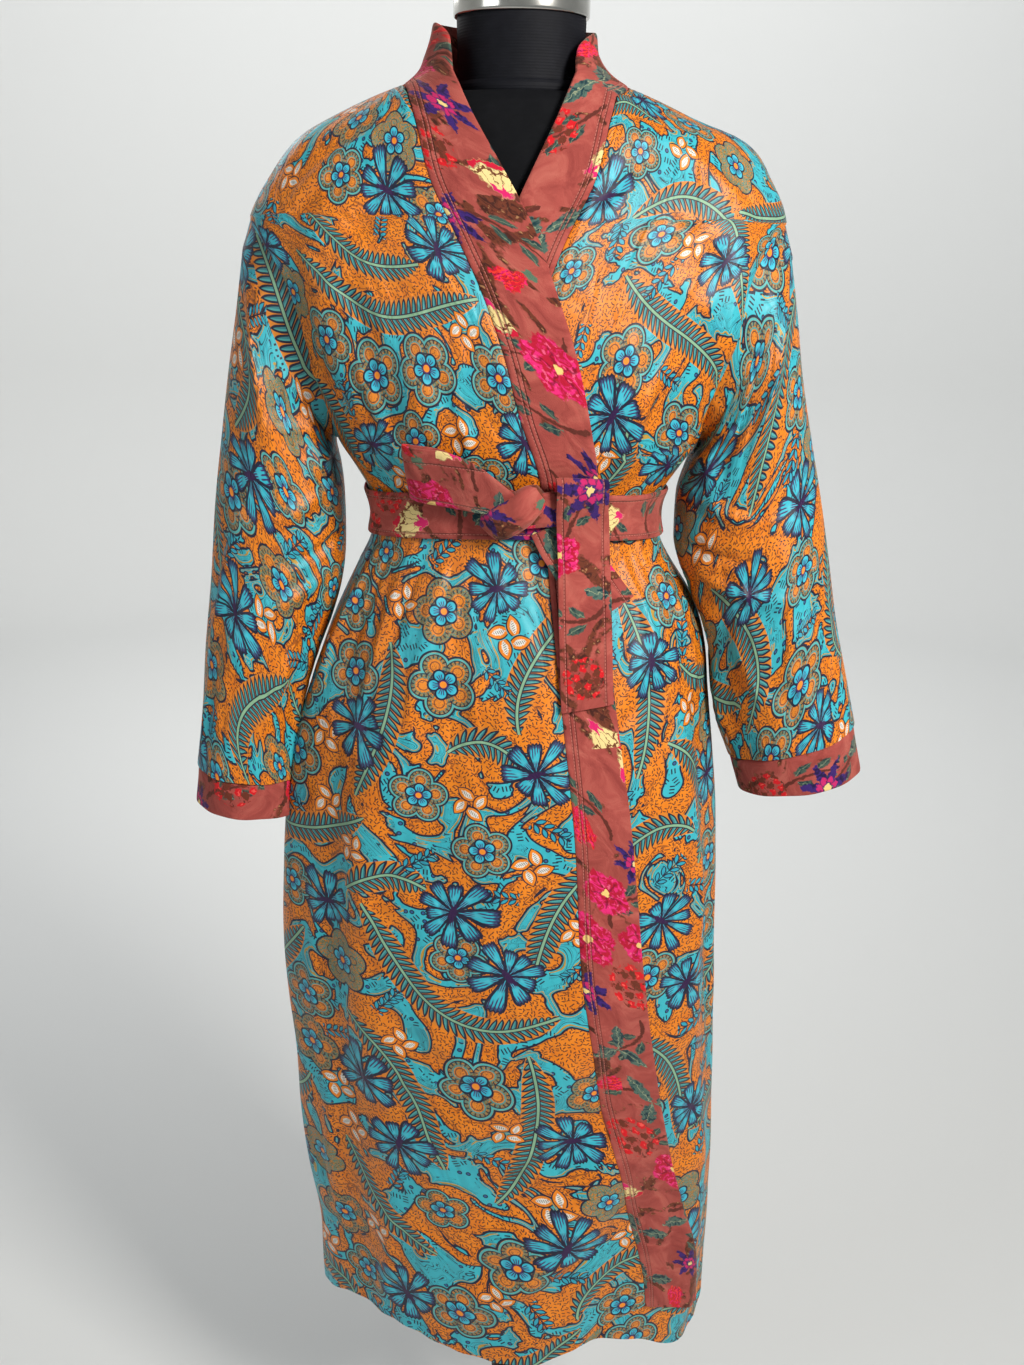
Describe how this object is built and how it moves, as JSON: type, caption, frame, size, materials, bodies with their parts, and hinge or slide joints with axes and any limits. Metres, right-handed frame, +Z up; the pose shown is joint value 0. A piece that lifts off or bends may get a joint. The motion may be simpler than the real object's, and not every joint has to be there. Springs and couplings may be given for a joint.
{
  "type": "kimono robe on a dress form",
  "caption": "Long wrap robe in printed satin with a velvet band, cuffs and tied belt, worn by a limbless dress form on a pole and round base.",
  "frame": {"origin": "on the floor under the pole, at the middle of the base's flat underside", "axes": "+Z up along the pole, -Y the robe's front, +X the wearer's left"},
  "size_m": [0.674, 0.3173, 1.693],
  "materials": {
    "satin": "printed satin, flowers on turquoise and orange",
    "velvet": "printed velvet, salmon pink",
    "form": "smooth dark cover",
    "cap": "polished",
    "stand": "satin black"
  },
  "bodies": {
    "root": {"back": "satin", "front_right": "satin", "front_left": "satin", "sleeve_right": "satin", "sleeve_left": "satin", "cuff_right": "velvet", "cuff_left": "velvet", "band_right": "velvet", "band_left": "velvet", "belt_round": "velvet", "belt_knot": "velvet", "belt_loop": "velvet", "belt_tail_long": "velvet", "belt_tail_short": "velvet", "form_body": "form", "form_neck": "form", "neck_cap": "cap", "pole": "stand", "base": "stand"}
  },
  "joints": []
}
